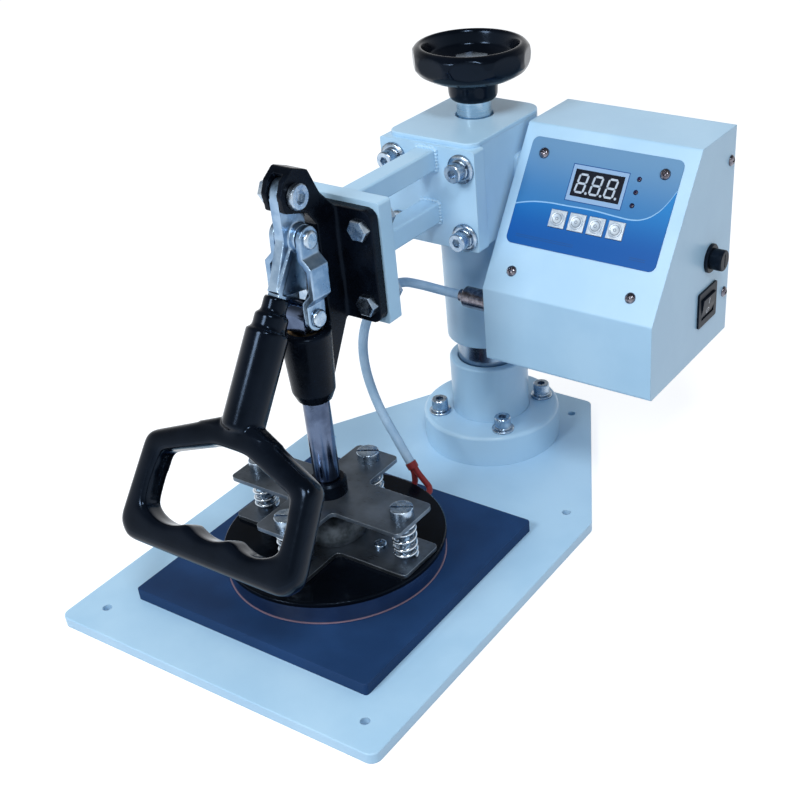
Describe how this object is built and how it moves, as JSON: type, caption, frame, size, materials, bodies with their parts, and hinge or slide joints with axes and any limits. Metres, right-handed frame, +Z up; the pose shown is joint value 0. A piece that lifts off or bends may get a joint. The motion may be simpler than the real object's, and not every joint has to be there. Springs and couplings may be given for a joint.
{
  "type": "flat heat press",
  "caption": "Swing-head flat heat press with a round sprung platen over a silicone pad, a push toggle handle, a height handwheel and a sloping control box.",
  "frame": {"origin": "the column axis at the underside of the base plate", "axes": "+X to the operator's right, +Y from the operator to the rear, +Z up along the column"},
  "size_m": [0.3195, 0.423, 0.323],
  "materials": {
    "white_powder_coat": "satin powder coat",
    "blue_silicone": "matt silicone",
    "zinc_steel": "blue zinc plate",
    "bright_steel": "bright drawn steel",
    "dark_steel": "dark rolled steel",
    "black_casting": "black enamel on a casting",
    "bronze": "turned",
    "black_phenolic": "polished moulding",
    "cast_aluminium": "satin",
    "gloss_black_enamel": "gloss enamel",
    "element_sheath": "drawn tube",
    "release_fabric": "coated glass fabric",
    "red_fibreglass": "braided",
    "grey_cable": "smooth jacket",
    "nickel_plate": "nickel plate",
    "blue_overlay": "printed film",
    "display_glass": "filter window",
    "lamp_lens": "clear lens",
    "circuit_board": "solder mask",
    "button_plastic": "moulded",
    "black_plastic": "moulded",
    "fuse_glass": "clear"
  },
  "bodies": {
    "base": {"base_plate": "white_powder_coat", "silicone_pad": "blue_silicone", "column_flange": "white_powder_coat", "column_collar": "white_powder_coat", "flange_washers": "zinc_steel", "flange_screws": "zinc_steel"},
    "post": {"column_post": "bright_steel"},
    "head": {"swing_sleeve": "white_powder_coat", "head_block": "white_powder_coat", "head_cap": "white_powder_coat", "arm_frame": "white_powder_coat", "arm_washers": "zinc_steel", "arm_screws": "zinc_steel", "clamp_body": "black_casting", "clamp_bolts": "zinc_steel", "lever_pivot_bolt": "dark_steel", "plunger_bush": "bronze", "box_bracket": "white_powder_coat", "box_shell": "white_powder_coat", "box_back_panel": "white_powder_coat", "box_screws": "zinc_steel", "label_panel": "blue_overlay", "display_module": "display_glass", "indicator_leds": "lamp_lens", "control_board": "circuit_board", "switch_housing": "black_plastic", "fuse_holder": "black_plastic", "power_inlet": "black_plastic", "cable_socket": "nickel_plate", "cable_plug": "nickel_plate", "heater_cable": "grey_cable"},
    "handwheel": {"handwheel": "black_phenolic", "wheel_sleeve": "zinc_steel", "adjusting_screw": "bright_steel"},
    "handle": {"handle_lever": "zinc_steel", "handle_grip": "black_phenolic", "lever_pin": "zinc_steel"},
    "links": {"toggle_links": "zinc_steel", "link_rivets": "zinc_steel"},
    "plunger": {"plunger_rod": "bright_steel", "plunger_pin": "zinc_steel", "rod_hub": "black_casting", "upper_cross": "dark_steel", "pressure_springs": "bright_steel"},
    "platen": {"lower_cross": "dark_steel", "shoulder_screws": "bright_steel", "pressure_dome": "cast_aluminium", "platen_cover": "gloss_black_enamel", "heating_plate": "cast_aluminium", "heating_element": "element_sheath", "release_sheet": "release_fabric", "platen_screws": "zinc_steel", "cable_sleeving": "red_fibreglass"},
    "fuse_carrier": {"fuse_cartridge": "fuse_glass"},
    "fuse_cap": {"fuse_cap": "black_plastic"},
    "button_1": {"button_1": "button_plastic"},
    "button_2": {"button_2": "button_plastic"},
    "button_3": {"button_3": "button_plastic"},
    "button_4": {"button_4": "button_plastic"},
    "rocker": {"rocker": "black_plastic"}
  },
  "joints": [
    {"name": "head_swing", "type": "hinge", "parent": "base", "child": "post", "pos_m": [0, 0, 0.1], "axis": [0, 0, 1], "range_deg": [-90, 90]},
    {"name": "head_lift", "type": "slide", "parent": "post", "child": "head", "axis": [0, 0, 1], "range_m": [0, 0.015]},
    {"name": "handwheel_turn", "type": "hinge", "parent": "head", "child": "handwheel", "pos_m": [0, 0, 0.3], "axis": [0, 0, 1], "range_deg": [0, 2700]},
    {"name": "handle_swing", "type": "hinge", "parent": "head", "child": "handle", "pos_m": [0, -0.205, 0.286], "axis": [-1, 0, 0], "range_deg": [0, 100]},
    {"name": "link_tilt", "type": "hinge", "parent": "plunger", "child": "links", "pos_m": [0, -0.205, 0.207], "axis": [1, 0, 0], "range_deg": [0, 36]},
    {"name": "plunger_stroke", "type": "slide", "parent": "head", "child": "plunger", "axis": [0, 0, 1], "range_m": [0, 0.039], "deforming": ["heater_cable"]},
    {"name": "platen_float", "type": "slide", "parent": "plunger", "child": "platen", "axis": [0, 0, 1], "range_m": [0, 0.005], "stiffness_N_per_m": 20000, "springref_m": -0.004, "deforming": ["pressure_springs"]},
    {"name": "fuse_pull", "type": "slide", "parent": "head", "child": "fuse_carrier", "axis": [1, 0, 0], "range_m": [0, 0.03]},
    {"name": "fuse_turn", "type": "hinge", "parent": "fuse_carrier", "child": "fuse_cap", "pos_m": [0.18, 0.031, 0.185], "axis": [-1, 0, 0], "range_deg": [0, 60]},
    {"name": "rocker_tip", "type": "hinge", "parent": "head", "child": "rocker", "pos_m": [0.172, 0.028, 0.15], "axis": [0, -1, 0], "range_deg": [0, 14]},
    {"name": "press_button_1", "type": "slide", "parent": "head", "child": "button_1", "axis": [0, 0.8126, -0.5828], "range_m": [0, 0.0008], "stiffness_N_per_m": 500, "springref_m": -0.001},
    {"name": "press_button_2", "type": "slide", "parent": "head", "child": "button_2", "axis": [0, 0.8126, -0.5828], "range_m": [0, 0.0008], "stiffness_N_per_m": 500, "springref_m": -0.001},
    {"name": "press_button_3", "type": "slide", "parent": "head", "child": "button_3", "axis": [0, 0.8126, -0.5828], "range_m": [0, 0.0008], "stiffness_N_per_m": 500, "springref_m": -0.001},
    {"name": "press_button_4", "type": "slide", "parent": "head", "child": "button_4", "axis": [0, 0.8126, -0.5828], "range_m": [0, 0.0008], "stiffness_N_per_m": 500, "springref_m": -0.001}
  ],
  "couplings": [
    {"joint": "handwheel_turn", "follows": "head_lift", "rad_per_m": 3141.6},
    {"joint": "plunger_stroke", "follows": "handle_swing", "m_per_rad": 0.0217},
    {"joint": "link_tilt", "follows": "handle_swing", "ratio": 0.344}
  ]
}
